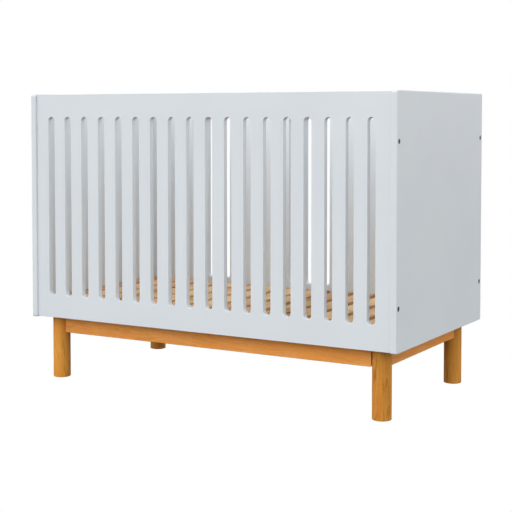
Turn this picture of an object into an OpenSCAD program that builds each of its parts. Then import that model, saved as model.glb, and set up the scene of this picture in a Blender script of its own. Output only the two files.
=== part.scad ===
// Baby crib: a box of four flat boards on a round-legged wooden stand,
// with a slatted mattress base that lifts to three heights.
// Frame: origin on the floor under the middle of the crib, +X along the crib's length,
// +Y towards the back, +Z up. Millimetres.

/* [Crib box] */
// Overall length, over the two end panels
crib_length = 1244; // [1100:1:1500]
// Overall depth, over the edges of the end panels
crib_depth = 656; // [540:1:800]
// Height of the top of the end panels above the floor
crib_height = 896; // [745:1:1080]
// Height of the bottom of the end panels above the floor
box_bottom = 195; // [160:1:240]
// Thickness of each of the four panels
panel_t = 18; // [16:0.5:25]
// How far the front and back panels stand behind the edges of the end panels
panel_setback = 6; // [1:0.5:15]
// How far the front and back panels' top edges lie below those of the end panels
panel_top_step = 3; // [0:0.5:10]
// How far the front and back panels' bottom edges lie above those of the end panels
panel_bottom_step = 2.5; // [0:0.5:10]
// Radius of the end panels' upper corners
end_top_r = 8; // [1:0.5:40]
// Radius of the end panels' lower corners
end_bottom_r = 5; // [1:0.5:20]

/* [Slots] */
// Width of each slot in the front and back panels
slot_w = 24; // [15:0.5:25]
// Width of the bar left between two slots
bar_w = 40.2; // [25:0.1:60]
// Least width of solid panel left at each end of the row of slots
slot_end_min = 45; // [42:1:90]
// Height of solid panel above the slots
slot_head = 69; // [40:1:120]
// Height of solid panel below the slots
slot_sill = 69; // [40:1:120]

/* [Panel joints] */
// Diameter of the panel bolts
panel_bolt_d = 6; // [5:0.5:8]
// Diameter of the flat heads of the panel bolts
panel_bolt_head_d = 14; // [11:0.5:17]
// Thickness of the flat heads
panel_bolt_head_t = 2.4; // [1.5:0.1:4]
// Depth of the recess that each head sits in
panel_bolt_recess = 3; // [1.5:0.1:6]
// Width across the flats of the hexagon sockets
hex_key = 4; // [3:0.5:5]
// Height of the lower bolts above the bottom of the end panels
panel_bolt_low = 120; // [60:1:160]
// Depth of the upper bolts below the top of the end panels
panel_bolt_high = 136; // [60:1:200]
// Distance from a long panel's end to the middle of its barrel nuts
barrel_nut_inset = 30; // [22:1:34]
// Diameter of the barrel nuts
barrel_nut_d = 10; // [9:0.5:12]
// Length of the barrel nuts
barrel_nut_l = 14; // [10:0.5:15]
// Diameter of the panel dowels
dowel_d = 8; // [6:0.5:9]
// Depth that the dowels reach into the end panels
dowel_in_end = 12; // [8:0.5:14]
// Depth that the dowels reach into the long panels
dowel_in_side = 24; // [15:0.5:30]
// Number of dowels at each corner of the box
dowels_per_corner = 3; // [2:1:5]

/* [Mattress base] */
// Room between the mattress base and the corner plates' flanges beside it
base_side_room = 2; // [1:0.5:5]
// Room between the mattress base and the plate bolts' heads under it
base_under_room = 2.2; // [1:0.1:10]
// Thickness of the slats
slat_t = 14; // [10:0.5:20]
// Number of slats
slat_count = 13; // [8:1:15]
// Gap between two slats
slat_gap = 22; // [10:0.5:30]
// Width of the front and back rails of the base
base_rail_w = 28; // [22:0.5:45]
// Height of the front and back rails of the base
base_rail_h = 32; // [26:0.5:40]
// Thickness of the left and right rails of the base
base_end_rail_t = 42; // [30:0.5:45]
// Distance between two positions of the base
height_step = 130; // [60:1:150]
// Number of positions of the base
height_count = 3; // [2:1:3]
// Distance from a corner plate's free edge to the axis of the support bolt beside it
support_bolt_inset = 48; // [20:1:100]
// Diameter of the support bolts' shoulders
support_bolt_d = 10; // [8:0.5:12]
// Diameter of the support bolts' heads
support_head_d = 17; // [15:0.5:22]
// Height of the support bolts above the underside of the base
support_bolt_h = 16; // [12:0.5:22]

/* [Stand] */
// Diameter of the legs
leg_d = 54; // [45:0.5:70]
// Distance from the outside of an end panel to a leg's axis
leg_inset_x = 67.5; // [60:0.5:90]
// Distance from the edge of an end panel to a leg's axis
leg_inset_y = 61; // [56:0.5:90]
// Rounding of the legs' bottom edges
leg_foot_r = 2; // [1:0.5:8]
// Height of the stand's rails
stand_rail_h = 50; // [40:1:80]
// Thickness of the stand's rails
stand_rail_t = 28; // [22:0.5:34]
// Diameter of the dowels between rails and legs
stand_dowel_d = 10; // [8:0.5:12]
// Depth that these dowels reach into a leg
stand_dowel_in_leg = 18; // [12:0.5:19]
// Depth that these dowels reach into a rail
stand_dowel_in_rail = 26; // [18:0.5:40]
// Diameter of the glides under the legs
glide_d = 38; // [25:0.5:40]
// Height by which the glides lift the legs off the floor
glide_proud = 1.5; // [1:0.1:4]
// Depth that the glides sit in the legs
glide_sunk = 2.5; // [1:0.1:4]

/* [Stand hardware] */
// Thickness of the corner brackets' steel
bracket_t = 2.5; // [2:0.1:4]
// Height of the corner brackets
bracket_h = 34; // [28:1:38]
// Distance along a rail from the leg's axis to a bracket's bend
bracket_reach = 70; // [62:1:90]
// Length of the tab that is screwed to a rail
bracket_tab = 30; // [24:1:40]
// Thickness of the corner plates between box and stand
plate_t = 4; // [3:0.1:5]
// Height of the corner plates' upright flanges
plate_flange_h = 30; // [24:1:40]
// Length of a corner plate's flange along the box, past the leg's axis
plate_past_leg = 29; // [29:1:45]
// Diameter of the bolts in the leg tops and brackets
stand_bolt_d = 8; // [6:0.5:8]

/* [Screws] */
// Diameter of the wood screws
screw_d = 4; // [3:0.1:5]
// Diameter of the countersunk heads
screw_head_d = 8; // [6:0.1:9]
// Depth that the slat screws reach into the base's rails
slat_screw_grip = 16; // [10:1:16]
// Length of the short screws in the steel parts
plate_screw_l = 16; // [12:1:17]
// Length of the screws in the corners of the base
corner_screw_l = 80; // [70:1:100]

/* [Clearances] */
// Room around a dowel, nut or insert in its hole, on the radius
press_gap = 0.05; // [0.02:0.01:0.15]
// Room around a bolt in a hole that it passes through, on the radius
bolt_gap = 0.3; // [0.2:0.05:0.6]
// Room between the mattress base and the support bolts that it drops over
drop_gap = 0.25; // [0.1:0.05:0.6]

/* [Hidden] */
$fn = 96;
eps = 1;                                        // overshoot of cutting bodies

// the box
inner_x = crib_length / 2 - panel_t;            // inner face of an end panel
side_y = crib_depth / 2 - panel_setback;        // outer face of a long panel
inner_y = side_y - panel_t;                     // inner face of a long panel
joint_y = side_y - panel_t / 2;                 // middle of a long panel's thickness
side_bottom = box_bottom + panel_bottom_step;
side_top = crib_height - panel_top_step;
side_length = 2 * inner_x;

// the slots
slot_pitch = slot_w + bar_w;
slot_count = floor((side_length - 2 * slot_end_min + bar_w) / slot_pitch);
slot_low = side_bottom + slot_sill;
slot_high = side_top - slot_head;

// the panel joints
bolt_heights = [box_bottom + panel_bolt_low, crib_height - panel_bolt_high];
barrel_x = inner_x - barrel_nut_inset;
bolt_seat = crib_length / 2 - panel_bolt_recess;
bolt_end = barrel_x - barrel_nut_d / 2 - 1;     // the bolt just passes its nut
dowel_low = box_bottom + 35;
dowel_high = crib_height - 35;

// the mattress base
base_x = inner_x - plate_t - base_side_room;    // outer face of the base's end rails
base_y = inner_y - plate_t - base_side_room;    // outer face of the base's long rails
head_h = 0.6 * stand_bolt_d;                    // hexagon heads
head_af = 1.6 * stand_bolt_d;
base_bottom = box_bottom + plate_t + head_h + base_under_room;
slat_bottom = base_bottom + base_rail_h;
slat_top = slat_bottom + slat_t;
slat_screw_l = slat_t + slat_screw_grip;
corner_screw_z = base_bottom + (base_rail_h - slat_screw_grip) / 2;
end_rail_in = base_x - base_end_rail_t;         // inner face of the base's end rails
rail_mid_y = base_y - base_rail_w / 2;
slat_span = 2 * end_rail_in;
slat_w = (slat_span - (slat_count + 1) * slat_gap) / slat_count;
slat_pitch = slat_w + slat_gap;
support_z = base_bottom + support_bolt_h;
support_bolt_y = crib_depth / 2 - leg_inset_y - plate_past_leg - support_bolt_inset;
support_heights = [for (i = [0 : height_count - 1]) support_z + i * height_step];
insert_d = 9;
insert_l = 12;
support_head_t = 4;
support_shoulder = inner_x - end_rail_in + 2 * drop_gap;   // from the panel to the bolt's head

// the stand
leg_x = crib_length / 2 - leg_inset_x;
leg_y = crib_depth / 2 - leg_inset_y;
rail_low = box_bottom - stand_rail_h;
rail_mid = box_bottom - stand_rail_h / 2;
dowel_rise = stand_rail_h / 4;                  // rail dowels above and below its middle
plate_in_x = leg_x - plate_past_leg;
plate_in_y = leg_y - plate_past_leg;
leg_insert_d = 11;
leg_insert_l = 18;
rail_off = stand_rail_t / 2;                    // leg axis to a rail's face
web_out = (bracket_reach + rail_off) / sqrt(2); // leg axis to a bracket's web, on the diagonal
hanger_in = 6.5;                                // leg axis to a hanger bolt's tip
nut_h = 0.8 * stand_bolt_d;
tab_mid = bracket_reach + bracket_tab / 2;      // leg axis to the middle of a bracket's tab
screw_edge = 14;                                // from a plate's free end to its first screw

CORNERS = [[-1, -1, "front_left"], [1, -1, "front_right"], [-1, 1, "back_left"], [1, 1, "back_right"]];
WHITE = [0.84, 0.87, 0.88];
ORANGE_WOOD = [0.76, 0.48, 0.2];
PINE = [0.85, 0.7, 0.5];
BEECH = [0.8, 0.65, 0.45];
ZINC = [0.7, 0.72, 0.74];
DARK_STEEL = [0.25, 0.26, 0.28];
NYLON = [0.2, 0.2, 0.2];

// ---------- shapes used by several parts ----------

// A cylinder along +X from the origin
module rod_x(d, l) {
    rotate([0, 90, 0]) cylinder(d = d, h = l);
}

// A cylinder along +Y from the origin
module rod_y(d, l) {
    rotate([-90, 0, 0]) cylinder(d = d, h = l);
}

// The same shape in all four corners, drawn for the right back one
module each_corner() {
    for (c = CORNERS) corner(c) children();
}

// One corner's copy of a shape drawn for the right back one
module corner(c) {
    mirror([c[0] < 0 ? 1 : 0, 0, 0]) mirror([0, c[1] < 0 ? 1 : 0, 0]) children();
}

// A countersunk wood screw with its head's top at the origin, pointing down
module screw(l) {
    translate([0, 0, -screw_head_d / 4]) cylinder(d1 = screw_head_d / 2, d2 = screw_head_d, h = screw_head_d / 4);
    translate([0, 0, -l]) cylinder(d = screw_d, h = l);
}

// The hole for it, with the same seat
module screw_hole(l) {
    translate([0, 0, -screw_head_d / 4]) cylinder(d1 = screw_head_d / 2, d2 = screw_head_d, h = screw_head_d / 4);
    cylinder(d = screw_head_d, h = eps);
    translate([0, 0, -l - eps]) cylinder(d = screw_d + 2 * press_gap, h = l + eps);
}

// A ring with a bore, along +X from the origin
module sleeve_x(d, bore, l) {
    difference() {
        rod_x(d, l);
        translate([-eps, 0, 0]) rod_x(bore, l + 2 * eps);
    }
}

// A hexagon prism along +Z, by its width across flats
module hexagon(af, h) {
    cylinder(d = af / cos(30), h = h, $fn = 6);
}

// ---------- the crib box ----------

// An end panel's outline in its own plane: x across, y up
module end_outline() {
    half = crib_depth / 2;
    difference() {
        translate([-half, box_bottom]) square([crib_depth, crib_height - box_bottom]);
        for (side = [-1, 1]) {
            round_off(side * half, crib_height, -side, -1, end_top_r);
            round_off(side * half, box_bottom, -side, 1, end_bottom_r);
        }
    }
}

// What a corner at (x, y) loses when it is rounded: dx and dy point into the panel
module round_off(x, y, dx, dy, r) {
    difference() {
        translate([x + dx * r / 2, y + dy * r / 2]) square(r, center = true);
        translate([x + dx * r, y + dy * r]) circle(r);
    }
}

// The right end panel
module end_panel() {
    difference() {
        translate([inner_x, 0, 0]) rotate([90, 0, 90]) linear_extrude(panel_t) end_outline();
        for (side = [-1, 1]) {
            for (z = bolt_heights) translate([inner_x, side * joint_y, z]) {
                translate([-eps, 0, 0]) rod_x(panel_bolt_d + 2 * bolt_gap, panel_t + 2 * eps);
                translate([bolt_seat - inner_x, 0, 0]) rod_x(panel_bolt_head_d + 2 * bolt_gap, panel_t);
            }
            for (z = dowel_heights()) translate([inner_x - eps, side * joint_y, z])
                rod_x(dowel_d + 2 * press_gap, dowel_in_end + eps);
            for (z = support_heights) translate([inner_x - eps, side * support_bolt_y, z])
                rod_x(insert_d + 2 * press_gap, insert_l + eps);
            for (y = flange_screws_y()) translate([inner_x - plate_t, side * y, plate_screw_z])
                rotate([0, -90, 0]) screw_hole(plate_screw_l);
        }
    }
}

module end_panel_left() {
    color(WHITE) mirror([1, 0, 0]) end_panel();
}

module end_panel_right() {
    color(WHITE) end_panel();
}

// Heights of the dowels, spread evenly between the lowest and the highest
function dowel_heights() =
    [for (i = [0 : dowels_per_corner - 1]) dowel_low + (dowel_high - dowel_low) * i / (dowels_per_corner - 1)];

// One round-ended slot, cut along Y
module slot() {
    r = slot_w / 2;
    depth = panel_t + 2 * eps;
    translate([-r, 0, slot_low + r]) cube([slot_w, depth, slot_high - slot_low - slot_w]);
    for (z = [slot_low + r, slot_high - r]) translate([0, 0, z]) rod_y(slot_w, depth);
}

// The back panel
module long_panel() {
    difference() {
        translate([-inner_x, inner_y, side_bottom]) cube([side_length, panel_t, side_top - side_bottom]);
        for (i = [0 : slot_count - 1])
            translate([(i - (slot_count - 1) / 2) * slot_pitch, inner_y - eps, 0]) slot();
        for (end = [0, 1]) mirror([end, 0, 0]) {
            for (z = bolt_heights) {
                translate([bolt_end - eps, joint_y, z]) rod_x(panel_bolt_d + 2 * bolt_gap, inner_x - bolt_end + 2 * eps);
                translate([barrel_x, inner_y - eps, z]) rod_y(barrel_nut_d + 2 * press_gap, barrel_nut_l + eps);
            }
            for (z = dowel_heights()) translate([inner_x - dowel_in_side - eps, joint_y, z])
                rod_x(dowel_d + 2 * press_gap, dowel_in_side + 2 * eps);
            for (x = flange_screws_x()) translate([x, inner_y - plate_t, plate_screw_z])
                rotate([90, 0, 0]) screw_hole(plate_screw_l);
        }
    }
}

module front_panel() {
    color(WHITE) mirror([0, 1, 0]) long_panel();
}

module back_panel() {
    color(WHITE) long_panel();
}

// A flat-headed joint bolt along -X, its head's underside at the origin
module joint_bolt() {
    difference() {
        union() {
            rod_x(panel_bolt_head_d, panel_bolt_head_t);
            translate([bolt_end - bolt_seat, 0, 0]) rod_x(panel_bolt_d, bolt_seat - bolt_end);
        }
        translate([-1, 0, 0]) rotate([0, 90, 0]) hexagon(hex_key, panel_bolt_head_t + 1 + eps);
    }
}

module panel_bolts() {
    color(DARK_STEEL) each_corner()
        for (z = bolt_heights) translate([bolt_seat, joint_y, z]) joint_bolt();
}

module barrel_nuts() {
    color(ZINC) each_corner() for (z = bolt_heights) difference() {
        translate([barrel_x, inner_y, z]) rod_y(barrel_nut_d, barrel_nut_l);
        translate([barrel_x - barrel_nut_d, joint_y, z]) rod_x(panel_bolt_d, 2 * barrel_nut_d);
    }
}

module panel_dowels() {
    color(BEECH) each_corner() for (z = dowel_heights())
        translate([inner_x - dowel_in_side, joint_y, z]) rod_x(dowel_d, dowel_in_side + dowel_in_end);
}

module height_inserts() {
    color(ZINC) each_corner() for (z = support_heights)
        translate([inner_x, support_bolt_y, z]) sleeve_x(insert_d, panel_bolt_d, insert_l);
}

// A shouldered bolt in the lowest insert: thread, shoulder and domed-edge head
module support_bolts() {
    color(ZINC) each_corner() translate([inner_x, support_bolt_y, support_z]) difference() {
        union() {
            rod_x(panel_bolt_d, insert_l - eps);
            translate([-support_shoulder, 0, 0]) rod_x(support_bolt_d, support_shoulder);
            translate([-support_shoulder - support_head_t, 0, 0]) rod_x(support_head_d, support_head_t);
        }
        translate([-support_shoulder - support_head_t - eps, 0, 0]) rotate([0, 90, 0])
            hexagon(hex_key, support_head_t);
    }
}

// ---------- the mattress base ----------

// The back rail of the base
module base_long_rail() {
    difference() {
        translate([-end_rail_in, base_y - base_rail_w, base_bottom]) cube([slat_span, base_rail_w, base_rail_h]);
        slat_screw_places() screw_hole(slat_screw_l);
        for (end = [0, 1]) mirror([end, 0, 0]) corner_screw_places() screw_hole(corner_screw_l);
    }
}

module base_rail_back() {
    color(PINE) base_long_rail();
}

module base_rail_front() {
    color(PINE) mirror([0, 1, 0]) base_long_rail();
}

// The right rail of the base, with a slot that drops over each support bolt
module base_end_rail() {
    slot_d = support_bolt_d + 2 * drop_gap;
    difference() {
        translate([end_rail_in, -base_y, base_bottom]) cube([base_end_rail_t, 2 * base_y, slat_top - base_bottom]);
        for (side = [0, 1]) mirror([0, side, 0]) {
            translate([end_rail_in - eps, support_bolt_y, support_z]) rod_x(slot_d, base_end_rail_t + 2 * eps);
            translate([end_rail_in - eps, support_bolt_y - slot_d / 2, base_bottom - eps])
                cube([base_end_rail_t + 2 * eps, slot_d, support_z - base_bottom + eps]);
            corner_screw_places() screw_hole(corner_screw_l);
        }
    }
}

module base_rail_right() {
    color(PINE) base_end_rail();
}

module base_rail_left() {
    color(PINE) mirror([1, 0, 0]) base_end_rail();
}

// Middle of a slat, counted from the left
function slat_x(i) = (i - (slat_count + 1) / 2) * slat_pitch;

module slat(i) {
    color(PINE) difference() {
        translate([slat_x(i) - slat_w / 2, -base_y, slat_bottom]) cube([slat_w, 2 * base_y, slat_t]);
        for (side = [0, 1]) mirror([0, side, 0]) slat_screw_places() screw_hole(slat_screw_l);
    }
}

// Two screws through each slat into the back rail
module slat_screw_places() {
    for (i = [1 : slat_count]) for (dx = [-slat_w / 4, slat_w / 4])
        translate([slat_x(i) + dx, rail_mid_y, slat_top]) children();
}

// Two screws through the right rail into the back rail's end
module corner_screw_places() {
    for (dy = [-base_rail_w / 4, base_rail_w / 4])
        translate([base_x, rail_mid_y + dy, corner_screw_z]) rotate([0, 90, 0]) children();
}

module slat_screws() {
    color(ZINC) for (side = [0, 1]) mirror([0, side, 0]) slat_screw_places() screw(slat_screw_l);
}

module base_corner_screws() {
    color(ZINC) each_corner() corner_screw_places() screw(corner_screw_l);
}

// ---------- the stand ----------

// The right back leg
module leg() {
    foot = leg_foot_r;
    difference() {
        translate([leg_x, leg_y, 0]) rotate_extrude() {
            translate([0, glide_proud]) square([leg_d / 2 - foot, box_bottom - glide_proud]);
            translate([0, glide_proud + foot]) square([leg_d / 2, box_bottom - glide_proud - foot]);
            translate([leg_d / 2 - foot, glide_proud + foot]) circle(foot);
        }
        translate([leg_x, leg_y, glide_proud - eps]) cylinder(d = glide_d + 2 * press_gap, h = glide_sunk + eps);
        translate([leg_x, leg_y, box_bottom - leg_insert_l])
            cylinder(d = leg_insert_d + 2 * press_gap, h = leg_insert_l + eps);
        stand_dowel_holes();
        diagonal() translate([-leg_d, 0, 0]) rod_x(stand_bolt_d + 2 * press_gap, leg_d - hanger_in + eps);
    }
}

// The right back leg's frame at the rails' middle height, turned so that +X points outwards
// along the corner's diagonal
module diagonal() {
    translate([leg_x, leg_y, rail_mid]) rotate([0, 0, 45]) children();
}

// The right back leg's four dowels, drawn a little longer and wider for their holes
module leg_dowels(extra_d, extra_l) {
    l = stand_dowel_in_leg + stand_dowel_in_rail + 2 * extra_l;
    start = leg_d / 2 + stand_dowel_in_rail + extra_l;
    for (rise = [-dowel_rise, dowel_rise]) translate([leg_x, leg_y, rail_mid + rise]) {
        translate([-start, 0, 0]) rod_x(stand_dowel_d + extra_d, l);
        translate([0, -start, 0]) rod_y(stand_dowel_d + extra_d, l);
    }
}

module stand_dowel_holes() {
    leg_dowels(2 * press_gap, 0.5);
}

module stand_dowels() {
    color(BEECH) each_corner() leg_dowels(0, 0);
}

// The back rail, with its ends hollowed to the legs
module stand_long_rail() {
    difference() {
        translate([-leg_x, leg_y - rail_off, rail_low]) cube([2 * leg_x, stand_rail_t, stand_rail_h]);
        for (end = [0, 1]) mirror([end, 0, 0]) rail_end();
    }
}

// The right rail
module stand_end_rail() {
    difference() {
        translate([leg_x - rail_off, -leg_y, rail_low]) cube([stand_rail_t, 2 * leg_y, stand_rail_h]);
        for (end = [0, 1]) mirror([0, end, 0]) rail_end();
    }
}

// What the right back corner takes out of the two rails that meet there
module rail_end() {
    translate([leg_x, leg_y, rail_low - eps]) cylinder(d = leg_d, h = stand_rail_h + 2 * eps);
    stand_dowel_holes();
    bracket_screw_places() screw_hole(plate_screw_l);
}

module stand_rail_front() {
    color(ORANGE_WOOD) mirror([0, 1, 0]) stand_long_rail();
}

module stand_rail_back() {
    color(ORANGE_WOOD) stand_long_rail();
}

module stand_rail_left() {
    color(ORANGE_WOOD) mirror([1, 0, 0]) stand_end_rail();
}

module stand_rail_right() {
    color(ORANGE_WOOD) stand_end_rail();
}

// The right back corner bracket: a strip bent across the corner between the two rails
module bracket() {
    in = bracket_t * (sqrt(2) - 1);
    near = rail_off + bracket_t;
    tip = bracket_reach + bracket_tab;
    outline = [[-tip, -rail_off], [-bracket_reach, -rail_off], [-rail_off, -bracket_reach], [-rail_off, -tip],
               [-near, -tip], [-near, -bracket_reach - in], [-bracket_reach - in, -near], [-tip, -near]];
    difference() {
        translate([leg_x, leg_y, rail_mid - bracket_h / 2]) linear_extrude(bracket_h) polygon(outline);
        diagonal() translate([-web_out - bracket_t - eps, 0, 0])
            rod_x(stand_bolt_d + 2 * bolt_gap, bracket_t + 2 * eps);
        bracket_screw_places() screw_hole(plate_screw_l);
    }
}

// The four screws of the right back bracket
module bracket_screw_places() {
    for (rise = [-bracket_h / 4, bracket_h / 4]) translate([leg_x, leg_y, rail_mid + rise]) {
        translate([-tab_mid, -rail_off - bracket_t, 0]) rotate([90, 0, 0]) children();
        translate([-rail_off - bracket_t, -tab_mid, 0]) rotate([0, -90, 0]) children();
    }
}

module hanger_bolts() {
    l = web_out + bracket_t + nut_h + 3 - hanger_in;
    color(ZINC) each_corner() diagonal() translate([-hanger_in - l, 0, 0]) rod_x(stand_bolt_d, l);
}

module hanger_nuts() {
    color(ZINC) each_corner() diagonal() translate([-web_out - bracket_t - nut_h, 0, 0]) difference() {
        rotate([0, 90, 0]) hexagon(head_af, nut_h);
        translate([-eps, 0, 0]) rod_x(stand_bolt_d, nut_h + 2 * eps);
    }
}

module bracket_screws() {
    color(ZINC) each_corner() bracket_screw_places() screw(plate_screw_l);
}

// ---------- what ties the box to the stand ----------

plate_screw_z = box_bottom + 0.6 * plate_flange_h;
function flange_screws_x() = [plate_in_x + screw_edge, inner_x - 1.6 * screw_edge];
function flange_screws_y() = [plate_in_y + screw_edge, inner_y - 1.6 * screw_edge];

// The right back plate: it lies on the leg's top and has a flange against each panel
module corner_plate() {
    x_l = inner_x - plate_in_x;
    y_l = inner_y - plate_in_y;
    difference() {
        translate([plate_in_x, plate_in_y, box_bottom]) union() {
            cube([x_l, y_l, plate_t]);
            translate([x_l - plate_t, 0, 0]) cube([plate_t, y_l, plate_flange_h]);
            translate([0, y_l - plate_t, 0]) cube([x_l, plate_t, plate_flange_h]);
        }
        translate([leg_x, leg_y, box_bottom - eps]) cylinder(d = stand_bolt_d + 2 * bolt_gap, h = plate_t + 2 * eps);
        plate_screw_places() screw_hole(plate_screw_l);
    }
}

// The four screws of the right back plate
module plate_screw_places() {
    for (x = flange_screws_x()) translate([x, inner_y - plate_t, plate_screw_z]) rotate([90, 0, 0]) children();
    for (y = flange_screws_y()) translate([inner_x - plate_t, y, plate_screw_z]) rotate([0, -90, 0]) children();
}

module plate_screws() {
    color(ZINC) each_corner() plate_screw_places() screw(plate_screw_l);
}

// Hexagon bolts through the plates into the legs' tops
module plate_bolts() {
    color(ZINC) each_corner() translate([leg_x, leg_y, box_bottom + plate_t]) {
        hexagon(head_af, head_h);
        translate([0, 0, 2 - plate_t - leg_insert_l]) cylinder(d = stand_bolt_d, h = plate_t + leg_insert_l - 2);
    }
}

module leg_inserts() {
    color(ZINC) each_corner() translate([leg_x, leg_y, box_bottom - leg_insert_l]) difference() {
        cylinder(d = leg_insert_d, h = leg_insert_l);
        translate([0, 0, -eps]) cylinder(d = stand_bolt_d, h = leg_insert_l + 2 * eps);
    }
}

module glides() {
    color(NYLON) each_corner() translate([leg_x, leg_y, 0]) cylinder(d = glide_d, h = glide_proud + glide_sunk);
}

// ---------- the nodes ----------

end_panel_left();
end_panel_right();
front_panel();
back_panel();
panel_bolts();
barrel_nuts();
panel_dowels();
height_inserts();
support_bolts();
base_rail_front();
base_rail_back();
base_rail_left();
base_rail_right();
for (i = [1 : slat_count]) slat(i);
slat_screws();
base_corner_screws();
for (c = CORNERS) color(ORANGE_WOOD) corner(c) leg();
stand_rail_front();
stand_rail_back();
stand_rail_left();
stand_rail_right();
stand_dowels();
for (c = CORNERS) color(ZINC) corner(c) bracket();
hanger_bolts();
hanger_nuts();
bracket_screws();
for (c = CORNERS) color(ZINC) corner(c) corner_plate();
plate_bolts();
leg_inserts();
plate_screws();
glides();
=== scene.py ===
import math

import bpy
import numpy as np
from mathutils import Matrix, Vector
from mathutils.geometry import tessellate_polygon


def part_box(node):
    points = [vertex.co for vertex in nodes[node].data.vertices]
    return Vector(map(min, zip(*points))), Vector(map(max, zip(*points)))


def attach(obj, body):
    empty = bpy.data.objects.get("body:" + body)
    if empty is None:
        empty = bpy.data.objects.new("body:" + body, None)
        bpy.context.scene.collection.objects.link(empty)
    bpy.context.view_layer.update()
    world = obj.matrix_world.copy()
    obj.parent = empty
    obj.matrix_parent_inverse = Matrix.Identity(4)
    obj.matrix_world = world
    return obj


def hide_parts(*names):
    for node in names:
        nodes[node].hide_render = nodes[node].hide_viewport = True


# Baby crib: the box, base and stand are rebuilt with eased edges and real timber around the packed
# frame. Everything is in metres. X runs along the crib, -Y is its front and Z is up.

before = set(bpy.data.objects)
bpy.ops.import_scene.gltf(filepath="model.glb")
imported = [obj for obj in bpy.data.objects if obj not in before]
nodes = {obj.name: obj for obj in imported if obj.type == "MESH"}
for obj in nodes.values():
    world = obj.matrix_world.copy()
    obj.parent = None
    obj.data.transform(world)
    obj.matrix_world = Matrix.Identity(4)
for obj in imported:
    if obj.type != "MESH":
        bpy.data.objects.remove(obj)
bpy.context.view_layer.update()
print("frame:", len(nodes), "nodes")

# The camera stands in front and to the right, a little lower than the crib's top edge
viewPoint = {
    "place": (1.8887, -3.2542, 0.8258),
    "turn": 30.08,   # degrees round from straight ahead
    "tilt": 2.6,     # degrees down
    "lens": 84.83,
    "shift": -0.1655,
}


def makeCamera(v):
    camera = bpy.data.objects.new("viewPoint", bpy.data.cameras.new("viewPoint"))
    camera.location = v["place"]
    camera.rotation_euler = (math.radians(90 - v["tilt"]), 0, math.radians(v["turn"]))
    camera.data.lens = v["lens"]
    camera.data.shift_y = v["shift"]
    bpy.context.scene.collection.objects.link(camera)
    bpy.context.scene.camera = camera


makeCamera(viewPoint)


# Short ways to add and link shader nodes
def addNode(tree, kind, inputs=None, **settings):
    node = tree.nodes.new("ShaderNode" + kind)
    for key, value in settings.items():
        setattr(node, key, value)
    for key, value in (inputs or {}).items():
        if isinstance(value, bpy.types.NodeSocket):
            tree.links.new(value, node.inputs[key])
        else:
            node.inputs[key].default_value = value
    return node


def startMaterial(name):
    material = bpy.data.materials.new(name)
    material.use_nodes = True
    return material, material.node_tree, material.node_tree.nodes["Principled BSDF"]


def stretched(tree, vector, scale, shift=(0, 0, 0)):
    inputs = {"Vector": vector, "Scale": scale, "Location": shift}
    return addNode(tree, "Mapping", inputs).outputs[0]


def noise(tree, vector, detail=2.0, roughness=0.5, scale=1.0, output="Fac"):
    return addNode(tree, "TexNoise", {"Vector": vector, "Scale": scale, "Detail": detail,
                                      "Roughness": roughness}).outputs[output]


def remap(tree, value, low, high, toLow=0.0, toHigh=1.0):
    return addNode(tree, "MapRange", {"Value": value, "From Min": low, "From Max": high,
                                      "To Min": toLow, "To Max": toHigh}).outputs[0]


def calculate(tree, how, a, b):
    return addNode(tree, "Math", {0: a, 1: b}, operation=how).outputs[0]


def scaled(tree, value, share):
    return calculate(tree, "MULTIPLY", value, share)


def vectorMath(tree, how, inputs, output=0):
    return addNode(tree, "VectorMath", inputs, operation=how).outputs[output]


def blendColour(tree, factor, a, b):
    return addNode(tree, "Mix", {0: factor, 6: a, 7: b}, data_type="RGBA").outputs[2]


def bump(tree, shader, height, distance):
    node = addNode(tree, "Bump", {"Height": height, "Distance": distance})
    tree.links.new(node.outputs[0], shader.inputs["Normal"])


def pieceAttribute(tree, name):
    return addNode(tree, "Attribute", attribute_name=name)


# White surroundings, brightest a little above the horizon and on the right, dim below and weaker
# overhead and on the far side, and a wide soft lamp in front and to the left. The floor only shows:
# it throws no light back at the crib.
studio = {
    "surroundings": (      # sine of the height above the horizon, light
        (-1.0, 0.10), (-0.05, 0.18), (0.08, 1.54), (0.35, 1.78), (1.0, 0.84)),
    "brightSide": (0.93, -0.37, 0),
    "farSide": 0.58,       # light from the far side, as a share of the bright side's
    "lampFrom": (-0.56, -0.72, 0.54),
    "lampSpread": 55,      # degrees
    "lampPower": 1.0,
    "white": (1, 1, 1, 1),
    "backdrop": 1.0,       # strength of the white that the floor and the distance show
    "floorSize": 60,
}


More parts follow.
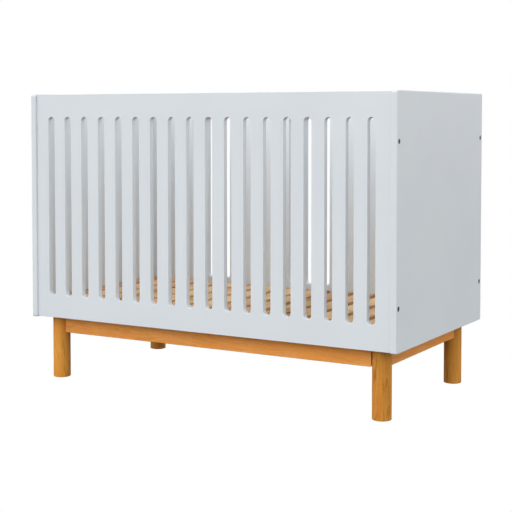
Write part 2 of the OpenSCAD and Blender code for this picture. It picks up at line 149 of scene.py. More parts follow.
def makeStudio(s):
    world = bpy.data.worlds.new("studio")
    bpy.context.scene.world = world
    world.use_nodes = True
    tree = world.node_tree
    tree.nodes.clear()
    direction = addNode(tree, "TexCoord").outputs["Generated"]
    upward = addNode(tree, "SeparateXYZ", {0: direction}).outputs["Z"]
    ramp = addNode(tree, "ValToRGB", {0: remap(tree, upward, -1, 1)})
    brightest = max(light for height, light in s["surroundings"])
    stops = ramp.color_ramp.elements    # a new ramp has two already
    for i, (height, light) in enumerate(s["surroundings"]):
        place = height / 2 + 0.5
        stop = stops[i] if i < 2 else stops.new(place)
        stop.position = place
        stop.color = (light / brightest,) * 3 + (1,)
    facing = vectorMath(tree, "DOT_PRODUCT", {0: direction, 1: s["brightSide"]}, "Value")
    strength = scaled(tree, ramp.outputs[0], brightest)
    strength = scaled(tree, strength, remap(tree, facing, -1, 1, s["farSide"], 1.0))
    light = addNode(tree, "Background", {"Color": s["white"], "Strength": strength})
    seen = addNode(tree, "Background", {"Color": s["white"], "Strength": s["backdrop"]})
    ray = addNode(tree, "LightPath").outputs["Is Camera Ray"]
    both = addNode(tree, "MixShader", {0: ray, 1: light.outputs[0], 2: seen.outputs[0]})
    addNode(tree, "OutputWorld", {0: both.outputs[0]})

    lamp = bpy.data.lights.new("softLamp", "SUN")
    lamp.energy, lamp.angle = s["lampPower"], math.radians(s["lampSpread"])
    lampObject = bpy.data.objects.new("softLamp", lamp)
    lampObject.rotation_euler = Vector(s["lampFrom"]).to_track_quat("Z", "Y").to_euler()
    bpy.context.scene.collection.objects.link(lampObject)
    bpy.context.scene.view_settings.view_transform = "Standard"

    half = s["floorSize"] / 2
    mesh = bpy.data.meshes.new("floor")
    square = [(-half, -half, 0), (half, -half, 0), (half, half, 0), (-half, half, 0)]
    mesh.from_pydata(square, [], [(0, 1, 2, 3)])
    floor = bpy.data.objects.new("floor", mesh)
    bpy.context.scene.collection.objects.link(floor)
    floor.visible_diffuse = floor.visible_glossy = False
    material, tree, shader = startMaterial("paleFloor")
    shader.inputs["Base Color"].default_value = (0, 0, 0, 1)
    shader.inputs["Specular IOR Level"].default_value = 0
    shader.inputs["Emission Color"].default_value = s["white"]
    shader.inputs["Emission Strength"].default_value = s["backdrop"]
    mesh.materials.append(material)


makeStudio(studio)
print("camera, lamps and floor")


# Materials. Every piece carries "grain", its place with the fibres' direction first, and "edge",
# which is 1 along its rounded edges.

# Satin lacquer on board: a faint orange peel from the spray gun on a slow ripple, cloudy in colour
# and sheen, and slightly paler edges where the lacquer pulls thin
lacquer = {
    "colour": (0.750, 0.795, 0.828, 1),
    "shade": (0.728, 0.772, 0.815, 1),
    "edge": (0.78, 0.81, 0.82, 1),
    "edgeShare": 0.5,
    "roughness": (0.36, 0.46),
    "cloud": 3.5,        # this and the next three are in waves per metre
    "haze": 40,
    "peel": 420,
    "ripple": 22,
    "rippleShare": 2.5,
    "peelHeight": 0.00006,
}


def makeLacquer(v):
    material, tree, shader = startMaterial("satinLacquer")
    place = pieceAttribute(tree, "grain").outputs["Vector"]
    edge = pieceAttribute(tree, "edge").outputs["Fac"]
    cloud = noise(tree, place, detail=3, scale=v["cloud"])
    colour = blendColour(tree, remap(tree, cloud, 0.35, 0.65), v["colour"], v["shade"])
    colour = blendColour(tree, scaled(tree, edge, v["edgeShare"]), colour, v["edge"])
    tree.links.new(colour, shader.inputs["Base Color"])
    haze = noise(tree, place, detail=4, scale=v["haze"])
    tree.links.new(remap(tree, haze, 0.3, 0.7, *v["roughness"]), shader.inputs["Roughness"])
    peel = noise(tree, place, detail=2, scale=v["peel"])
    ripple = noise(tree, place, detail=1, scale=v["ripple"])
    bump(tree, shader, calculate(tree, "ADD", peel, scaled(tree, ripple, v["rippleShare"])),
         v["peelHeight"])
    return material


# Timber: growth rings round a line beside the board, long fine streaks, short dark flames, pores
# and a slow change of tone and hue; the "tone" attribute makes each board lighter or darker.
# Triples are waves per metre along and across the fibres, a share is how much a figure darkens
# the wood, and a range is the part of its noise that shows.
stainedWood = {
    "light": (0.800, 0.355, 0.055, 1),
    "blush": (0.760, 0.300, 0.040, 1),   # the light wood's other hue
    "dark": (0.330, 0.115, 0.012, 1),
    "pore": (0.180, 0.055, 0.006, 1),
    "pith": (0.0, 0.05, 0.03),           # middle of the rings, in metres
    "ringGap": 0.0085,
    "ringBend": 2.2,
    "ringFade": 2.2,                     # higher keeps only the dark end of each ring
    "ringShare": 0.14,
    "streaks": (5.0, 210, 210),
    "streakRange": (0.32, 0.70),
    "streakShare": 0.26,
    "flames": (15.0, 95, 95),
    "flameRange": (0.54, 0.76),
    "flameShare": 0.68,
    "pores": (28, 1000, 1000),
    "poreRange": (0.60, 0.74),
    "poreShare": 0.35,
    "drift": (4.5, 14, 14),
    "warp": 0.060,                       # how far the fibres drift, in metres
    "cloud": (1.6, 11, 11),
    "toneShare": 0.50,
    "hue": (6, 9, 9),
    "knots": (5.5, 14, 14),
    "knotReach": (0.20, 0.08),           # from a knot's rim to its middle
    "knotShare": 0.0,
    "rubbed": 0.15,                      # how much paler the rounded edges are
    "roughness": (0.45, 0.62),
    "gloss": 0.22,
    "height": 0.00010,
}
railWood = dict(
    stainedWood,
    light=(0.980, 0.425, 0.110, 1),
    blush=(0.960, 0.370, 0.070, 1),
    dark=(0.520, 0.170, 0.022, 1),
    pore=(0.300, 0.090, 0.012, 1),
    pith=(0.0, 0.03, 0.09),
    flames=(7.0, 60, 60),
    flameShare=0.30,
    toneShare=0.35,
)
pineWood = dict(
    stainedWood,
    light=(0.950, 0.700, 0.360, 1),
    blush=(0.980, 0.580, 0.340, 1),
    dark=(0.420, 0.200, 0.060, 1),
    pore=(0.300, 0.140, 0.050, 1),
    pith=(0.0, 0.04, 0.05),
    ringGap=0.0060,
    ringShare=0.36,
    streakShare=0.22,
    flames=(9.0, 60, 60),
    flameShare=0.50,
    pores=(20, 700, 700),
    poreShare=0.15,
    warp=0.035,
    toneShare=0.60,
    knotShare=0.9,
    roughness=(0.52, 0.68),
)
beechWood = dict(
    pineWood,
    light=(0.620, 0.440, 0.260, 1),
    blush=(0.600, 0.400, 0.240, 1),
    dark=(0.500, 0.320, 0.170, 1),
    knotShare=0.0,
)


def makeWood(name, v, ownGrain=True):
    material, tree, shader = startMaterial(name)
    if ownGrain:
        place = pieceAttribute(tree, "grain").outputs["Vector"]
        edge = pieceAttribute(tree, "edge").outputs["Fac"]
        tone = pieceAttribute(tree, "tone").outputs["Fac"]
    else:
        place = addNode(tree, "TexCoord").outputs["Object"]
        edge = tone = 0.0
    drift = noise(tree, stretched(tree, place, v["drift"]), detail=2.5, output="Color")
    drift = vectorMath(tree, "SUBTRACT", {0: drift, 1: (0.5, 0.5, 0.5)})
    drift = vectorMath(tree, "SCALE", {0: drift, "Scale": v["warp"]})
    fibres = vectorMath(tree, "ADD", {0: place, 1: drift})

    # rings are long cigars round the pith; the texture's own rings are 0.314 apart at scale 1
    rings = addNode(tree, "TexWave", {"Vector": stretched(tree, fibres, (0.12, 1, 1), v["pith"]),
                                      "Scale": 0.314 / v["ringGap"], "Distortion": v["ringBend"],
                                      "Detail": 2.0, "Detail Scale": 0.6},
                    wave_type="RINGS", rings_direction="X", wave_profile="SAW").outputs["Fac"]
    rings = calculate(tree, "POWER", rings, v["ringFade"])
    streaks = noise(tree, stretched(tree, fibres, v["streaks"]), detail=4, roughness=0.62)
    streaks = remap(tree, streaks, *v["streakRange"])
    flames = noise(tree, stretched(tree, fibres, v["flames"]), detail=4, roughness=0.55)
    flames = remap(tree, flames, *v["flameRange"])
    pores = noise(tree, stretched(tree, fibres, v["pores"]), detail=1)
    pores = remap(tree, pores, *v["poreRange"])
    cloud = noise(tree, stretched(tree, place, v["cloud"]), detail=2)
    cloud = remap(tree, cloud, 0.3, 0.7, -0.5, 0.5)

    depth = calculate(tree, "ADD", tone, scaled(tree, cloud, v["toneShare"]))
    figures = [(rings, "ringShare"), (streaks, "streakShare"), (flames, "flameShare")]
    if v["knotShare"]:
        # few knots: the centres of stretched cells
        cells = addNode(tree, "TexVoronoi", {"Vector": stretched(tree, fibres, v["knots"]),
                                             "Scale": 1.0}, feature="F1").outputs["Distance"]
        figures.append((remap(tree, cells, *v["knotReach"]), "knotShare"))
    for figure, share in figures:
        depth = calculate(tree, "ADD", depth, scaled(tree, figure, v[share]))
    depth = addNode(tree, "Clamp", {0: depth}).outputs[0]
    hue = noise(tree, stretched(tree, place, v["hue"], (3, 5, 7)), detail=2)   # moved off the cloud
    colour = blendColour(tree, remap(tree, hue, 0.38, 0.62), v["light"], v["blush"])
    colour = blendColour(tree, depth, colour, v["dark"])
    colour = blendColour(tree, scaled(tree, pores, v["poreShare"]), colour, v["pore"])
    pale = tuple(min(1, 1.2 * c) for c in v["light"])
    colour = blendColour(tree, scaled(tree, edge, v["rubbed"]), colour, pale)
    tree.links.new(colour, shader.inputs["Base Color"])
    shader.inputs["Specular IOR Level"].default_value = v["gloss"]
    tree.links.new(remap(tree, streaks, 0.0, 1.0, *v["roughness"]), shader.inputs["Roughness"])
    bump(tree, shader, calculate(tree, "SUBTRACT", scaled(tree, streaks, -0.6), pores), v["height"])
    return material


# Plated and blackened steel: fine scratches and a cloudy polish
zincSteel = {
    "colour": (0.62, 0.64, 0.67, 1),
    "shade": (0.45, 0.47, 0.50, 1),
    "roughness": (0.26, 0.46),
    "metal": 1.0,
    "cloud": 90,                      # waves per metre, as the scratches
    "scratches": (40, 900, 900),
    "scratchDepth": 0.00003,
}
darkSteel = dict(
    zincSteel,
    colour=(0.095, 0.100, 0.112, 1),
    shade=(0.055, 0.060, 0.070, 1),
    roughness=(0.30, 0.50),
    metal=0.85,
    scratches=(300, 300, 300),
)


def makeSteel(name, v):
    material, tree, shader = startMaterial(name)
    place = addNode(tree, "TexCoord").outputs["Object"]
    cloud = noise(tree, place, detail=4, scale=v["cloud"])
    colour = blendColour(tree, remap(tree, cloud, 0.3, 0.7), v["colour"], v["shade"])
    tree.links.new(colour, shader.inputs["Base Color"])
    shader.inputs["Metallic"].default_value = v["metal"]
    tree.links.new(remap(tree, cloud, 0.3, 0.7, *v["roughness"]), shader.inputs["Roughness"])
    scratches = noise(tree, stretched(tree, place, v["scratches"]), detail=3)
    bump(tree, shader, scratches, v["scratchDepth"])
    return material


# Moulded nylon: dark, scuffed paler in patches, with a fine spark finish from the mould
glideNylon = {
    "colour": (0.055, 0.053, 0.050, 1),
    "worn": (0.130, 0.125, 0.120, 1),
    "roughness": (0.45, 0.65),
    "scuffs": 160,                    # waves per metre
    "spark": 1400,
    "sparkHeight": 0.00004,
}


def makeNylon(v):
    material, tree, shader = startMaterial("glideNylon")
    place = addNode(tree, "TexCoord").outputs["Object"]
    scuffs = noise(tree, place, detail=5, scale=v["scuffs"])
    colour = blendColour(tree, remap(tree, scuffs, 0.4, 0.8), v["colour"], v["worn"])
    tree.links.new(colour, shader.inputs["Base Color"])
    tree.links.new(remap(tree, scuffs, 0.3, 0.7, *v["roughness"]), shader.inputs["Roughness"])
    bump(tree, shader, noise(tree, place, detail=2, scale=v["spark"]), v["sparkHeight"])
    return material


finishes = {
    "painted_board": makeLacquer(lacquer),
    "stand_wood": makeWood("stainedLegWood", stainedWood),
    "rail_wood": makeWood("stainedRailWood", railWood),
    "base_wood": makeWood("pineWood", pineWood),
    "dowel_wood": makeWood("beechWood", beechWood, ownGrain=False),
    "zinc_steel": makeSteel("zincSteel", zincSteel),
    "dark_steel": makeSteel("darkSteel", darkSteel),
    "glide_nylon": makeNylon(glideNylon),
}
print("materials:", ", ".join(finishes))


# Shapes. A board is one or more closed outlines, each carried through a profile.
shapeDetail = {
    "step": 7.5,         # degrees of an outline's arc for each point
    "guard": 0.0005,     # flat margin beside a rounding, which keeps the shading of the flat clean
    "edgeSteps": 4,
}


# Anticlockwise outline from arcs (x, y, radius, from, to in degrees): centre + radius (cos, sin),
# with (cos, sin) as its normal. A negative radius makes a hollow arc. Where a straight joins
# two arcs, a point beside each end of it keeps it flat.
def outline(*arcs):
    guard = shapeDetail["guard"]
    near = 4 * guard     # closer arcs than this have no straight between them
    runs = []
    for x, y, radius, start, end in arcs:
        count = max(2, round(abs(end - start) / shapeDetail["step"]))
        angle = np.radians(np.linspace(start, end, count + 1))
        normal = np.column_stack([np.cos(angle), np.sin(angle)])
        heading = np.column_stack([-np.sin(angle), np.cos(angle)])
        runs.append(((x, y) + radius * normal, normal, heading))
    points, normals = [], []
    for i, (place, normal, heading) in enumerate(runs):
        before = runs[i - 1][0][-1]
        after = runs[(i + 1) % len(runs)][0][0]
        touching = np.hypot(*(before - place[0])) < near
        if not touching:
            points.append(place[:1] - guard * heading[:1])
            normals.append(normal[:1])
        points.append(place[1:] if touching else place)
        normals.append(normal[1:] if touching else normal)
        if np.hypot(*(after - place[-1])) >= near:
            points.append(place[-1:] + guard * heading[-1:])
            normals.append(normal[-1:])
    return np.vstack(points), np.vstack(normals)


# Rectangle with quarter circles for corners: low is the bottom pair's radius, high the top pair's
def roundedBox(x0, x1, y0, y1, low, high=None):
    high = low if high is None else high
    return outline((x1 - low, y0 + low, low, -90, 0), (x1 - high, y1 - high, high, 0, 90),
                   (x0 + high, y1 - high, high, 90, 180), (x0 + low, y0 + low, low, 180, 270))


def circle(x, y, radius):
    return outline((x, y, radius, 0, 360))


# Six arcs of radius corner, each turning 60 degrees, on a circle that leaves "across" between flats
def hexagon(across, corner):
    reach = (across - 2 * corner) / math.sqrt(3)
    return outline(*[(reach * math.cos(math.radians(a)), reach * math.sin(math.radians(a)),
                      corner, a - 30, a + 30) for a in range(0, 360, 60)])


# A hole runs the other way round, so that its wall faces inwards
def hole(shape):
    points, normals = shape
    return points[::-1], -normals[::-1]


# Profile rows are (inset, depth, edge). A rounding is a quarter circle, for t from 0 to 90 degrees:
# inset = ease (1 - sin t), depth = ease (1 - cos t), with edge = sin 2t, 1 at its middle.
def rounding(ease, steps):
    t = np.linspace(0, np.pi / 2, steps + 1)
    return np.column_stack([ease * (1 - np.sin(t)), ease * (1 - np.cos(t)), np.sin(2 * t)])


# A flat margin, a rounding and the start of the wall
def easedEnd(ease, steps=shapeDetail["edgeSteps"]):
    guard = shapeDetail["guard"]
    return np.vstack([[ease + guard, 0, 0], rounding(ease, steps), [0, ease + guard, 0]])


# The same profile for the other face, which is at this depth
def flipped(profile, depth):
    return profile[::-1] * (1, -1, 1) + (0, depth, 0)


# Wall between two faces, eased at both
def easedWall(depth, ease):
    return np.vstack([easedEnd(ease), flipped(easedEnd(ease), depth)])


# A blind hole from the low face
def sinkWall(depth, ease):
    return np.vstack([easedEnd(ease), (0, depth, 0)])


# Walls are (outline, profile, opening): each outline's points move inwards by the inset and up by
# the depth, one row for each profile row. "through" joins both flat faces, "low" and "high" are
# sinks in one of them with their own floor, and the flats are filled between the open ends.
def shell(*walls):
    points, faces, edges, lowRings, highRings, floors = [], [], [], [], [], []
    start = 0
    for (place, normal), profile, opening in walls:
        rows, count = len(profile), len(place)
        flat = place[None] - normal[None] * profile[:, 0, None, None]
        depth = np.broadcast_to(profile[:, 1, None, None], (rows, count, 1))
        points.append(np.concatenate([flat, depth], 2).reshape(-1, 3))
        edges.append(np.repeat(profile[:, 2], count))
        grid = start + np.arange(rows * count).reshape(rows, count)
        ahead = np.roll(grid, -1, 1)
        faces += np.stack([grid[:-1], ahead[:-1], ahead[1:], grid[1:]], -1).reshape(-1, 4).tolist()
        if opening != "high":
            lowRings.append(grid[0])
        if opening != "low":
            highRings.append(grid[-1])
        if opening == "high":
            floors.append((grid[0], True))
        if opening == "low":
            floors.append((grid[-1], False))
        start += rows * count
    points = np.vstack(points)
    faces += filledFlat(points, lowRings, False) + filledFlat(points, highRings, True)
    for ring, up in floors:
        faces += filledFlat(points, [ring], up)
    return points, faces, np.concatenate(edges)


# Triangles between closed rings in one plane, all facing up or all facing down
def filledFlat(points, rings, up):
    loops = [[Vector(p) for p in points[ring]] for ring in rings]
    triangles = np.concatenate(rings)[np.array(tessellate_polygon(loops))]
    a, b, c = (points[triangles[:, k]] for k in range(3))
    wrong = (np.cross(b - a, c - a)[:, 2] > 0) != up
    triangles[wrong] = triangles[wrong][:, ::-1]
    return triangles.tolist()


# Moves a shell to origin + x side + y rise + z out; a left-handed set of axes turns the faces over
def placed(shape, origin, side, rise, out):
    points, faces, edges = shape
    axes = np.array([side, rise, out], float)
    if np.linalg.det(axes) < 0:
        faces = [face[::-1] for face in faces]
    return points @ axes + origin, faces, edges


# Several closed shapes in one mesh
def joined(shapes):
    points, faces, edges, start = [], [], [], 0
    for p, f, e in shapes:
        points.append(p)
        faces += [[i + start for i in face] for face in f]
        edges.append(e)
        start += len(p)
    return np.vstack(points), faces, np.concatenate(edges)


random = np.random.default_rng(7)
timberReach = (20, 0.03, 0.03)   # a piece may be cut this far along and across the log, in metres


# Makes the object. along is the axis that the fibres follow; each piece is cut from its own
# stretch of timber, so the grain coordinates get a different start.
def makePiece(name, shape, body, slot, replaced, along=0, tone=0.0, finish=None):
    points, faces, edges = shape
    mesh = bpy.data.meshes.new(name)
    mesh.from_pydata(points.tolist(), [], faces)
    mesh.polygons.foreach_set("use_smooth", np.ones(len(mesh.polygons), bool))
    start = random.uniform(-1, 1, 3) * timberReach
    grain = points[:, [along, (along + 1) % 3, (along + 2) % 3]] + start
    mesh.attributes.new("grain", "FLOAT_VECTOR", "POINT").data.foreach_set("vector", grain.ravel())
    mesh.attributes.new("edge", "FLOAT", "POINT").data.foreach_set("value", edges)
    tones = np.full(len(points), tone)
    mesh.attributes.new("tone", "FLOAT", "POINT").data.foreach_set("value", tones)
    mesh.materials.append(finishes[finish or slot])
    piece = bpy.data.objects.new(name, mesh)
    bpy.context.scene.collection.objects.link(piece)
    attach(piece, body)
    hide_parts(*replaced)


def corners(name):
    low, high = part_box(name)
    return np.array(low), np.array(high)


xAxis, yAxis, zAxis = np.eye(3)
panelLow, panelHigh = corners("front_panel")
endLow, endHigh = corners("end_panel_right")
panelThickness = panelHigh[1] - panelLow[1]
innerX = endLow[0]                          # inner faces of the end panels
innerY = panelLow[1] + panelThickness       # and of the front panel, which is negative
jointY = -innerY + panelThickness / 2       # the bolts run in the middle of the long panels

# Where the panels are bolted together
panelJoint = {
    "lowBolt": 0.120,      # above the end panels' bottom edge
    "highBolt": 0.136,     # below their top edge
    "nutInset": 0.030,     # barrel nut from a long panel's end
    "nutHole": 0.00505,    # this and the other holes are radii
    "nutDepth": 0.015,
    "nutEase": 0.0005,
    "recess": 0.0073,      # the round sink for the bolt's head
    "recessDepth": 0.003,
    "shankHole": 0.0033,
    "shankEase": 0.0004,
}
boltHeights = (endLow[2] + panelJoint["lowBolt"], endHigh[2] - panelJoint["highBolt"])

# The long panels: round-ended slots between two wide rails. Each slot's outline is two half circles
# of radius r on one upright line, joined by straights.
longPanel = {
    "slotCount": 18,
    "slotWidth": 0.024,
    "slotPitch": 0.0642,
    "sill": 0.069,         # board below the slots
    "head": 0.069,         # board above them
    "corner": 0.0010,
    "ease": 0.0004,        # outer edges, which butt against the end panels
    "slotEase": 0.0011,
}


def makeLongPanel(name, node, out, v, joint):
    low, high = corners(node)
    r = v["slotWidth"] / 2
    bottom, top = low[2] + v["sill"] + r, high[2] - v["head"] - r
    walls = [(roundedBox(low[0], high[0], low[2], high[2], v["corner"]),
              easedWall(panelThickness, v["ease"]), "through")]
    for i in range(v["slotCount"]):
        x = (i - (v["slotCount"] - 1) / 2) * v["slotPitch"]
        slot = outline((x, top, r, 0, 180), (x, bottom, r, 180, 360))
        walls.append((hole(slot), easedWall(panelThickness, v["slotEase"]), "through"))
    for x in (low[0] + joint["nutInset"], high[0] - joint["nutInset"]):
        for z in boltHeights:
            walls.append((hole(circle(x, z, joint["nutHole"])),
                          sinkWall(joint["nutDepth"], joint["nutEase"]), "low"))
    shape = placed(shell(*walls), out * -innerY, xAxis, zAxis, out)
    makePiece(name, shape, "crib", "painted_board", [node])


makeLongPanel("frontPanel", "front_panel", -yAxis, longPanel, panelJoint)
makeLongPanel("backPanel", "back_panel", yAxis, longPanel, panelJoint)
print("long panels")

# The end panels: rounded corners, a sink for each bolt head and a row of inserts inside
endPanel = {
    "bottomCorner": 0.005,
    "topCorner": 0.008,
    "ease": 0.0022,
    "insertRadius": 0.0045,
    "insertHole": 0.00455,
    "insertEase": 0.0004,
    "insertDepth": 0.013,
    "insertStep": 0.130,
    "insertCount": 3,
}
insertLow, insertHigh = corners("height_inserts")


def makeEndPanel(name, node, out, v, joint):
    low, high = corners(node)
    walls = [(roundedBox(low[1], high[1], low[2], high[2], v["bottomCorner"], v["topCorner"]),
              easedWall(panelThickness, v["ease"]), "through")]
    # a bolt's hole: its profile is the recess' wall, and further in the narrower hole for the shank
    step = joint["recess"] - joint["shankHole"]
    seat = panelThickness - joint["recessDepth"]
    boltHole = np.vstack([(shapeDetail["guard"] - step, 0, 0), (-step, 0, 0), (-step, seat, 0),
                          (0, seat, 0), flipped(easedEnd(joint["shankEase"]), panelThickness)])
    insertY = insertHigh[1] - v["insertRadius"]
    firstZ = insertLow[2] + v["insertRadius"]
    for side in (-1, 1):
        for z in boltHeights:
            walls.append((hole(circle(side * jointY, z, joint["recess"])), boltHole, "through"))
        for i in range(v["insertCount"]):
            place = circle(side * insertY, firstZ + i * v["insertStep"], v["insertHole"])
            walls.append((hole(place), sinkWall(v["insertDepth"], v["insertEase"]), "low"))
    shape = placed(shell(*walls), out * innerX, yAxis, zAxis, out)
    makePiece(name, shape, "crib", "painted_board", [node], along=1)


makeEndPanel("endPanelRight", "end_panel_right", xAxis, endPanel, panelJoint)
makeEndPanel("endPanelLeft", "end_panel_left", -xAxis, endPanel, panelJoint)
print("end panels")

# The stand: round legs with a softened foot, and rails hollowed at their ends to fit round them.
# A tone above 0 darkens a piece.
stand = {
    "foot": 0.002,         # radius of the foot's rounding
    "footSteps": 6,
    "legTop": 0.0006,      # and of the top's
    # back_left is darkened as painted shade, for the shadow it stands in under the crib; the other
    # legs are each a little lighter or darker
    "legToneAndShade": {"front_left": -0.12, "front_right": 0.06, "back_left": 0.32, "back_right": 0.16},
    "glideRadius": 0.01905,
    "glideSunk": 0.0025,
    "railTones": (-0.05, 0.05),
    "railEase": 0.0014,
    "railTip": 0.0010,     # rounding of the thin tips beside a leg
    "railGap": 0.0021,     # shadow gap between a rail and a leg
}


# A circle carried out of the sink for the glide, round the foot, up the wall and round the top
def makeLeg(name, node, tone, v):
    low, high = corners(node)
    middle = (low + high) / 2
    radius = (high[0] - low[0]) / 2
    height = high[2] - low[2]
    rim = radius - v["glideRadius"]
    profile = np.vstack([(rim, v["glideSunk"], 0), (rim, 0, 0), easedEnd(v["foot"], v["footSteps"]),
                         flipped(easedEnd(v["legTop"]), height)])
    shape = shell((circle(middle[0], middle[1], radius), profile, "through"))
    makePiece(name, placed(shape, (0, 0, low[2]), xAxis, yAxis, zAxis), "crib", "stand_wood",
              [node], along=2, tone=tone)


# Rail in plan: each end is hollowed round a leg at distance reach from the middle. A thin tip
# beside the hollow is a circle of radius tip that touches both the side and the hollow, so its
# centre is legRadius + tip from the leg's axis and tip inside the side.
def copedRail(reach, legRadius, width, tip):
    half = width / 2 - tip
    back = math.sqrt((legRadius + tip) ** 2 - half ** 2)
    b = math.degrees(math.asin(half / (legRadius + tip)))
    tipX = reach - back
    return outline((tipX, -half, tip, -90, b), (reach, 0, -legRadius, b, -b),
                   (tipX, half, tip, -b, 90), (-tipX, half, tip, 90, 180 + b),
                   (-reach, 0, -legRadius, 180 + b, 180 - b), (-tipX, -half, tip, 180 - b, 270))


def makeStandRail(name, node, along, v):
    low, high = corners(node)
    legLow, legHigh = corners("leg_back_right")
    legMiddle, legRadius = (legLow + legHigh) / 2, (legHigh[0] - legLow[0]) / 2
    across = 1 - along
    width = high[across] - low[across]
    plan = copedRail(legMiddle[along], legRadius + v["railGap"], width, v["railTip"])
    shape = shell((plan, easedWall(high[2] - low[2], v["railEase"]), "through"))
    axes = (xAxis, yAxis) if along == 0 else (yAxis, xAxis)
    origin = np.array([0, 0, low[2]])
    origin[across] = (low[across] + high[across]) / 2
    makePiece(name, placed(shape, origin, *axes, zAxis), "crib", "stand_wood", [node],
              along=along, tone=random.uniform(*v["railTones"]), finish="rail_wood")


for place, tone in stand["legToneAndShade"].items():
    makeLeg("leg" + place.title().replace("_", ""), "leg_" + place, tone, stand)
for place, along in (("Front", 0), ("Back", 0), ("Left", 1), ("Right", 1)):
    makeStandRail("standRail" + place, "stand_rail_" + place.lower(), along, stand)
print("stand")

# The mattress base: thin boards across two long rails, between end rails that hook over the bolts
mattressBase = {
    "slatEase": 0.0024,
    "slatCorner": 0.0015,
    "slatTones": (-0.28, 0.16),
    "railEase": 0.0010,
    "railCorner": 0.0018,
    "railTones": (-0.1, 0.1),
    "screwSink": 0.0042,       # radius of a countersink
    "screwSinkDepth": 0.0022,
    "sinkWear": 0.6,           # how rubbed its rim is
    "notchCorner": 0.0012,
    "notchHalf": 0.00525,      # half a notch's width
    "boltHead": 0.0085,        # radius of a support bolt's head
}
slatNodes = [f"slat_{i + 1}" for i in range(len(nodes)) if f"slat_{i + 1}" in nodes]
railLow, railHigh = corners("base_rail_back")
supportLow, supportHigh = corners("support_bolts")


# A board with rounded corners, screwed to each long rail by two countersunk screws
def makeSlat(name, node, v):
    low, high = corners(node)
    middle = (low + high) / 2
    width, _, top = high - low
    walls = [(roundedBox(low[0], high[0], low[1], high[1], v["slatCorner"]),
              easedWall(top, v["slatEase"]), "through")]
    # a countersink's wall is a cone
    r, deep = v["screwSink"], v["screwSinkDepth"]
    sink = np.array([(-r / 2, top - deep, 0), (0, top, v["sinkWear"]),
                     (shapeDetail["guard"], top, 0)])
    railY = (railLow[1] + railHigh[1]) / 2
    for x in (middle[0] - width / 4, middle[0] + width / 4):
        for y in (-railY, railY):
            walls.append((hole(circle(x, y, r)), sink, "high"))
    shape = placed(shell(*walls), (0, 0, low[2]), xAxis, yAxis, zAxis)
    makePiece(name, shape, "mattress_base", "base_wood", [node], along=1,
              tone=random.uniform(*v["slatTones"]))


# A rounded rectangle carried along X
def makeBaseLongRail(name, node, v):
    low, high = corners(node)
    section = roundedBox(low[1], high[1], low[2], high[2], v["railCorner"])
    shape = shell((section, easedWall(high[0] - low[0], v["railEase"]), "through"))
    makePiece(name, placed(shape, (low[0], 0, 0), yAxis, zAxis, xAxis), "mattress_base",
              "base_wood", [node], along=0, tone=random.uniform(*v["railTones"]))


# End rail seen along X: a bar with an upright round-topped notch over each support bolt. A notch is
# a hollow half circle round the bolt's axis, with a rounded lip at each side of its mouth.
def makeBaseEndRail(name, node, out, v):
    low, high = corners(node)
    c, n, lip = v["railCorner"], v["notchHalf"], v["notchCorner"]
    boltY = (supportHigh[1] - supportLow[1]) / 2 - v["boltHead"]
    boltZ = (supportLow[2] + supportHigh[2]) / 2
    arcs = []
    for y in (-boltY, boltY):
        arcs += [(y - n - lip, low[2] + lip, lip, -90, 0), (y, boltZ, -n, 0, -180),
                 (y + n + lip, low[2] + lip, lip, 180, 270)]
    arcs += [(high[1] - c, low[2] + c, c, -90, 0), (high[1] - c, high[2] - c, c, 0, 90),
             (low[1] + c, high[2] - c, c, 90, 180), (low[1] + c, low[2] + c, c, 180, 270)]
    shape = shell((outline(*arcs), easedWall(high[0] - low[0], v["railEase"]), "through"))
    inner = min(abs(low[0]), abs(high[0]))
    makePiece(name, placed(shape, out * inner, yAxis, zAxis, out), "mattress_base", "base_wood",
              [node], along=1, tone=random.uniform(*v["railTones"]))


for i, node in enumerate(slatNodes):
    makeSlat(f"slat{i + 1}", node, mattressBase)
makeBaseLongRail("baseRailFront", "base_rail_front", mattressBase)
makeBaseLongRail("baseRailBack", "base_rail_back", mattressBase)
makeBaseEndRail("baseRailRight", "base_rail_right", xAxis, mattressBase)
makeBaseEndRail("baseRailLeft", "base_rail_left", -xAxis, mattressBase)
print("mattress base:", len(slatNodes), "slats")

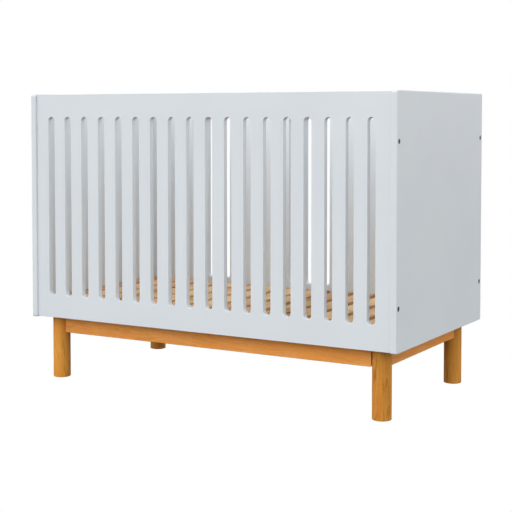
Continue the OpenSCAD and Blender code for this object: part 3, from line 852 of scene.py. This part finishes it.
# Joint bolts: a flat round head with a softened rim and a hexagon socket, on a plain shank
jointBolt = {
    "headRadius": 0.007,
    "headThickness": 0.0024,
    "rim": 0.0006,
    "wallMargin": 0.0002,      # straight part beside the rim's rounding
    "faceMargin": 0.0004,      # flat part beyond it
    "socket": 0.004,           # across its flats
    "socketCorner": 0.0003,
    "socketEase": 0.0002,
    "socketDepth": 0.0017,
    "shankRadius": 0.003,
    "shankGap": 0.00005,       # keeps the shank's end clear of the head's underside
    "pastNut": 0.006,          # how far the shank goes on past the barrel nut's axis
}


def makeJointBolts(v, joint):
    thick, rim, ease = v["headThickness"], v["rim"], v["socketEase"]
    seat = corners("panel_bolts")[1][0] - thick
    headWall = np.vstack([(0, 0, 0), (0, thick - rim - v["wallMargin"], 0),
                          flipped(rounding(rim, shapeDetail["edgeSteps"]), thick),
                          (rim + v["faceMargin"], thick, 0)])
    socketWall = np.array([(0, thick - v["socketDepth"], 0), (0, thick - ease, 0),
                           (ease, thick, 1)])
    head = shell((circle(0, 0, v["headRadius"]), headWall, "through"),
                 (hole(hexagon(v["socket"], v["socketCorner"])), socketWall, "high"))
    length = seat - (innerX - joint["nutInset"]) + v["pastNut"]
    shankWall = np.array([(0, -length, 0), (0, -v["shankGap"], 0)])
    shank = shell((circle(0, 0, v["shankRadius"]), shankWall, "through"))
    shapes = []
    for sx in (-1, 1):
        for sy in (-1, 1):
            for z in boltHeights:
                spot = (sx * seat, sy * jointY, z)
                shapes += [placed(part, spot, yAxis, zAxis, sx * xAxis) for part in (head, shank)]
    makePiece("panelBolts", joined(shapes), "crib", "dark_steel", ["panel_bolts"])


makeJointBolts(jointBolt, panelJoint)
print("joint bolts")

# The rest of the frame shows as it is, each node in the finish that its name's start gives
shownHardware = {
    "barrel_nuts": "zinc_steel",
    "panel_dowels": "dowel_wood",
    "height_inserts": "zinc_steel",
    "support_bolts": "zinc_steel",
    "slat_screws": "zinc_steel",
    "base_corner_screws": "zinc_steel",
    "stand_dowels": "dowel_wood",
    "bracket_": "zinc_steel",
    "hanger_": "zinc_steel",
    "corner_plate_": "zinc_steel",
    "plate_": "zinc_steel",
    "leg_inserts": "zinc_steel",
    "glides": "glide_nylon",
}
for name, node in nodes.items():
    for start, slot in shownHardware.items():
        if name.startswith(start) and not node.hide_render:
            node.data.materials.clear()
            node.data.materials.append(finishes[slot])
print("hardware")
